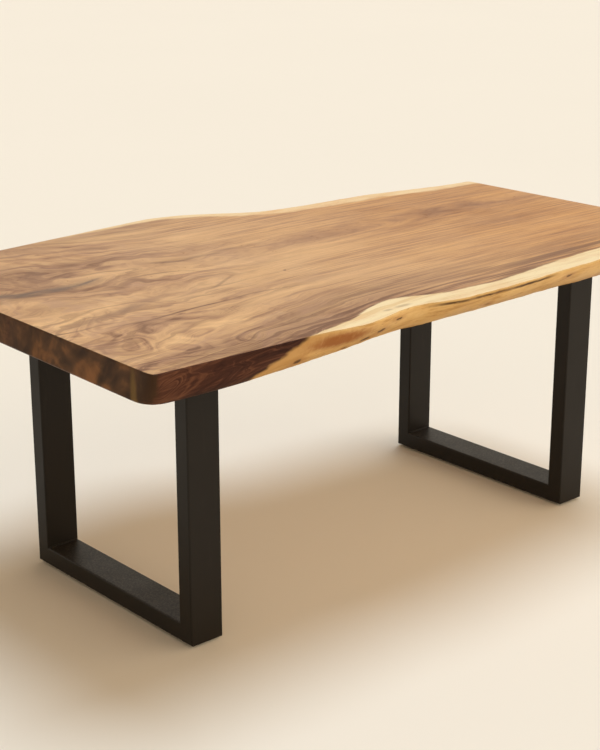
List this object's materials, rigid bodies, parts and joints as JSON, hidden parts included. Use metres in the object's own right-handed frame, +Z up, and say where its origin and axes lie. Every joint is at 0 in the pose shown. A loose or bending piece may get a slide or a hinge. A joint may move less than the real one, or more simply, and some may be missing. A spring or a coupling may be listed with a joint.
{
  "type": "live edge dining table",
  "caption": "Live edge dining table: a thick one-piece wood slab with natural long edges, bolted to welded black steel U legs on levelling feet.",
  "frame": {"origin": "on the floor, under the middle of the slab's outline", "axes": "+X along the table towards its narrow end, +Y from the front edge towards the back edge, +Z up"},
  "size_m": [1.8672, 1.1396, 0.76],
  "materials": {
    "slab_wood": "satin oil and lacquer",
    "leg_coat": "satin black powder coat",
    "fastener_steel": "zinc plated",
    "insert_brass": "turned",
    "foot_nylon": "moulded"
  },
  "bodies": {
    "table": {"live_edge_slab": "slab_wood", "left_front_upright": "leg_coat", "left_rear_upright": "leg_coat", "left_floor_rail": "leg_coat", "left_mounting_plate": "leg_coat", "left_plate_bolts": "fastener_steel", "left_plate_washers": "fastener_steel", "left_plate_inserts": "insert_brass", "left_foot_nuts": "fastener_steel", "right_front_upright": "leg_coat", "right_rear_upright": "leg_coat", "right_floor_rail": "leg_coat", "right_mounting_plate": "leg_coat", "right_plate_bolts": "fastener_steel", "right_plate_washers": "fastener_steel", "right_plate_inserts": "insert_brass", "right_foot_nuts": "fastener_steel"},
    "left_front_foot_base": {"left_front_foot_base": "foot_nylon"},
    "left_front_foot_stem": {"left_front_foot_stem": "fastener_steel"},
    "left_rear_foot_base": {"left_rear_foot_base": "foot_nylon"},
    "left_rear_foot_stem": {"left_rear_foot_stem": "fastener_steel"},
    "right_front_foot_base": {"right_front_foot_base": "foot_nylon"},
    "right_front_foot_stem": {"right_front_foot_stem": "fastener_steel"},
    "right_rear_foot_base": {"right_rear_foot_base": "foot_nylon"},
    "right_rear_foot_stem": {"right_rear_foot_stem": "fastener_steel"}
  },
  "joints": [
    {"name": "left_front_foot_height", "type": "slide", "parent": "table", "child": "left_front_foot_base", "axis": [0, 0, -1], "range_m": [0, 0.012]},
    {"name": "left_front_foot_turn", "type": "hinge", "parent": "left_front_foot_base", "child": "left_front_foot_stem", "pos_m": [-0.6445, -0.299, 0.005], "axis": [0, 0, -1], "range_deg": [0, 3456]},
    {"name": "left_rear_foot_height", "type": "slide", "parent": "table", "child": "left_rear_foot_base", "axis": [0, 0, -1], "range_m": [0, 0.012]},
    {"name": "left_rear_foot_turn", "type": "hinge", "parent": "left_rear_foot_base", "child": "left_rear_foot_stem", "pos_m": [-0.6445, 0.271, 0.005], "axis": [0, 0, -1], "range_deg": [0, 3456]},
    {"name": "right_front_foot_height", "type": "slide", "parent": "table", "child": "right_front_foot_base", "axis": [0, 0, -1], "range_m": [0, 0.012]},
    {"name": "right_front_foot_turn", "type": "hinge", "parent": "right_front_foot_base", "child": "right_front_foot_stem", "pos_m": [0.6255, -0.299, 0.005], "axis": [0, 0, -1], "range_deg": [0, 3456]},
    {"name": "right_rear_foot_height", "type": "slide", "parent": "table", "child": "right_rear_foot_base", "axis": [0, 0, -1], "range_m": [0, 0.012]},
    {"name": "right_rear_foot_turn", "type": "hinge", "parent": "right_rear_foot_base", "child": "right_rear_foot_stem", "pos_m": [0.6255, 0.271, 0.005], "axis": [0, 0, -1], "range_deg": [0, 3456]}
  ],
  "couplings": [
    {"joint": "left_front_foot_height", "follows": "left_front_foot_turn", "m_per_rad": 0.00019894},
    {"joint": "left_rear_foot_height", "follows": "left_rear_foot_turn", "m_per_rad": 0.00019894},
    {"joint": "right_front_foot_height", "follows": "right_front_foot_turn", "m_per_rad": 0.00019894},
    {"joint": "right_rear_foot_height", "follows": "right_rear_foot_turn", "m_per_rad": 0.00019894}
  ]
}
